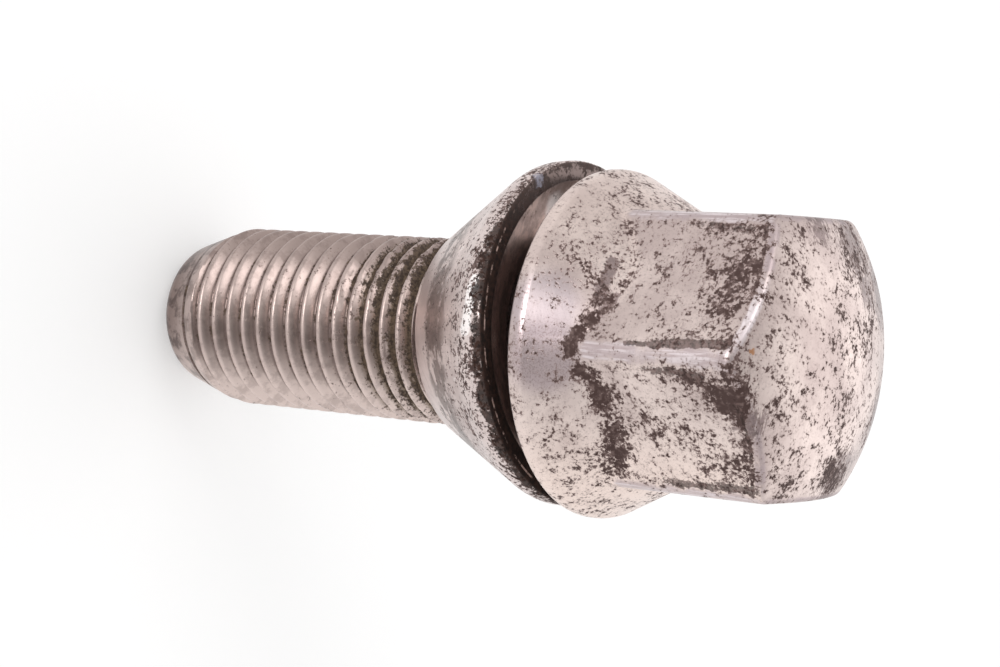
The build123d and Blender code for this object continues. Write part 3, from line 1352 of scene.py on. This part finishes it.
    def lay_smear(self, height: Source) -> None:
        """Lay the smear on the seat and a painted highlight on the shoulder above it.

        Args:
            height: Height along the collar's axis.
        """
        rubbed_off = self.times(self.ramp(self.brushed, 0.43, 0.52, 0.0, 0.92), self.zones["seat"])
        patch = self.weighed((self.along(*self.worn_patch), 0.8), (self.ragged, 1.8), (self.brushed, 0.5))
        patch_foot = self.ramp(self.math("MULTIPLY_ADD", self.ragged, 4.0, height), 3.4, 4.4)
        patch = self.times(self.ramp(patch, 1.42, 1.72, 0.0, 0.9), patch_foot)
        smear = self.blend(self.ramp(self.ragged, 0.44, 0.58), self.thin_smear_tone, self.smear_tone)
        self.lay(self.math("MAXIMUM", rubbed_off, patch), smear)
        # Painted highlight: near-white spots along the shoulder.
        painted_highlight = self.math("MULTIPLY_ADD", self.wander, 2.0, self.along(*self.painted_highlight))
        self.lay(self.ramp(painted_highlight, 0.3, 0.6), self.highlight_paint_tone)

    def lay_recess(self) -> None:
        """Lay the stained dish, with a painted reflection spot in it, and the dull back."""
        recess = self.blend(self.ramp(self.brushed, 0.4, 0.6), self.recess_tone, self.recess_stain_tone)
        # Painted reflection: a bright soft spot in the dish.
        reflection = self.math("ADD", self.near(*self.reflection_spot), self.wander)
        recess = self.blend(self.ramp(reflection, 0.2, 0.8), recess, self.polished_tone)
        self.lay(self.zones["dish"], recess, 0.9)
        self.lay(self.zones["back"], self.back_tone, 0.9)

    def lay_dirt(self) -> None:
        """Lay the pits, the caked dirt with its painted shade at the rim, and the edge and the scratch bared
        in it.
        """
        self.lay(self.pits["Specks"], self.worn_pit_tone, 0.5)
        pit_floor = self.blend(self.ramp(self.pits["Tone"], 0.38, 0.66), self.pit_tone, self.worn_pit_tone)
        self.lay(self.pits["Mask"], pit_floor)
        inside = self.math("MAXIMUM", self.zones["dish"], self.zones["upper_back"])
        self.soil(self.ramp(inside, 0.0, 1.0, 0.92, 0.5))
        bared = self.ramp(self.noise(self.place, 0.9, 5.0, 0.7), 0.49, 0.6)
        self.lay(self.times(self.zones["lower_edge"], bared), self.recess_tone)
        scratch = self.weighed((self.pits["Tone"], 1.6), start=self.near(*self.scratch_place))
        scratch = self.times(self.ramp(scratch, 1.1, 1.5), self.ramp(self.ragged, 0.4, 0.58, 0.25, 0.85))
        self.lay(scratch, self.scratch_tone)


@dataclass(frozen=True)
class SoftLight:
    """A square light, its place and side in metres and its power in watts."""

    name: str
    place: Point
    side: float
    power: float

    def hang(self, aim: Point) -> None:
        """Hang the light so that it faces a point.

        Args:
            aim: The point in metres.
        """
        lamp = bpy.data.lights.new(self.name, "AREA")
        lamp.size = self.side
        lamp.energy = self.power
        light = bpy.data.objects.new(self.name, lamp)
        light.location = self.place
        facing = Vector(aim) - Vector(self.place)
        light.rotation_euler = facing.to_track_quat("-Z", "Y").to_euler()
        light.visible_camera = False
        bpy.context.scene.collection.objects.link(light)


@dataclass
class Studio:
    """Pale floor, soft light and the camera; places in metres, lens in millimetres."""

    floor_radius: float = 3.0
    floor_segments: int = 96
    floor_tone: float = 0.6
    floor_glow: float = 0.42
    floor_roughness: float = 0.9
    floor_specular: float = 0.1
    eye: Point = (-0.006184, -0.132668, 0.12601)
    eye_right: Point = (-0.05066, 0.58896, 0.80657)
    eye_up: Point = (-0.99803, 0.0, -0.06269)
    eye_back: Point = (-0.03692, -0.80816, 0.58780)
    lens: float = 80.82
    sensor: float = 36.0
    near_clip: float = 0.005
    aim: Point = (0.0, 0.0, 0.03)
    lights: tuple[SoftLight, ...] = (
        SoftLight("key_softbox", (-0.29, -0.12, 0.4), 0.22, 0.36),
        SoftLight("front_softbox", (-0.16, -0.46, 0.06), 0.17, 0.8),
    )
    tent_tone: float = 0.875
    tent: tuple[tuple[Point, float, float, float], ...] = (
        ((-0.037, -0.808, 0.588), 0.75, 0.98, -0.25),
        ((0.04, 0.81, 0.59), 0.65, 0.97, 0.7),
        ((0.98, -0.1, 0.1), 0.3, 0.95, 0.1),
        ((0.05, -0.36, 0.93), 0.88, 0.97, -0.37),
        ((0.42, -0.3, 0.86), 0.88, 0.97, -0.3),
    )

    def build_floor(self) -> None:
        """Lay the floor disc under the tip."""
        shape = bmesh.new()
        bmesh.ops.create_circle(shape, cap_ends=True, segments=self.floor_segments, radius=self.floor_radius)
        mesh = bpy.data.meshes.new("floor")
        shape.to_mesh(mesh)
        shape.free()
        floor = bpy.data.objects.new("floor", mesh)
        bpy.context.scene.collection.objects.link(floor)
        material = bpy.data.materials.new("pale_floor")
        material.use_nodes = True
        paint = material.node_tree.nodes["Principled BSDF"]
        paint.inputs["Base Color"].default_value = (self.floor_tone,) * 3 + (1.0,)
        paint.inputs["Emission Color"].default_value = (1.0, 1.0, 1.0, 1.0)
        paint.inputs["Emission Strength"].default_value = self.floor_glow
        paint.inputs["Roughness"].default_value = self.floor_roughness
        paint.inputs["Specular IOR Level"].default_value = self.floor_specular
        mesh.materials.append(material)

    def build_world(self) -> None:
        """Surround the part with pale light, changed in a few directions and white to the camera."""
        world = bpy.data.worlds.new("light_tent")
        bpy.context.scene.world = world
        world.use_nodes = True
        sketch = NodeSketch(world.node_tree)
        sky = world.node_tree.nodes["Background"]
        sky.inputs["Color"].default_value = (1.0, 1.0, 1.0, 1.0)
        where = sketch.add("ShaderNodeTexCoord").outputs["Generated"]
        tone: Source = self.tent_tone
        for direction, low, high, change in self.tent:
            towards = sketch.vector("DOT_PRODUCT", where, direction)["Value"]
            tone = sketch.math("ADD", tone, sketch.ramp(towards, low, high, 0.0, change))
        seen = sketch.add("ShaderNodeLightPath").outputs["Is Camera Ray"]
        sketch.feed(sky.inputs["Strength"], sketch.math("MAXIMUM", tone, seen))

    def build_camera(self) -> None:
        """Set up the camera at the photograph's angle."""
        lens = bpy.data.cameras.new("camera")
        lens.sensor_width = self.sensor
        lens.lens = self.lens
        lens.clip_start = self.near_clip
        camera = bpy.data.objects.new("camera", lens)
        turned = Matrix((self.eye_right, self.eye_up, self.eye_back)).transposed().to_4x4()
        camera.matrix_world = Matrix.Translation(self.eye) @ turned
        bpy.context.scene.collection.objects.link(camera)
        bpy.context.scene.camera = camera

    def build(self) -> None:
        """Set up the whole studio."""
        self.build_floor()
        self.build_world()
        for light in self.lights:
            light.hang(self.aim)
        self.build_camera()
        view = bpy.context.scene.view_settings
        view.view_transform = "Standard"
        view.look = "None"


def settle(made: bpy.types.Object, body: Body, node: Node) -> None:
    """Tie a piece to its body and its solid, and report it.

    Args:
        made: The piece.
        body: Body that it rides on.
        node: Solid that it stands for.
    """
    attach(made, body.value)
    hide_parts(node.value)
    LOG.info("%s: %d faces on %s", made.name, len(made.data.polygons), body.value)


def main() -> None:
    """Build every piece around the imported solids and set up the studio."""
    logging.basicConfig(level=logging.INFO)
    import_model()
    effects = Effects(Pits().tree, Grime().tree, Rubbing().tree)
    bolt = Bolt()
    settle(bolt.build_head(HeadPlating(effects, bolt)), Body.BOLT, Node.BOLT)
    settle(bolt.build_shank(ThreadSteel(effects, bolt)), Body.BOLT, Node.BOLT)
    collar = SeatCollar()
    settle(collar.build(CollarPlating(effects, collar)), Body.COLLAR, Node.COLLAR)
    Studio().build()


if __name__ == "__main__":
    main()
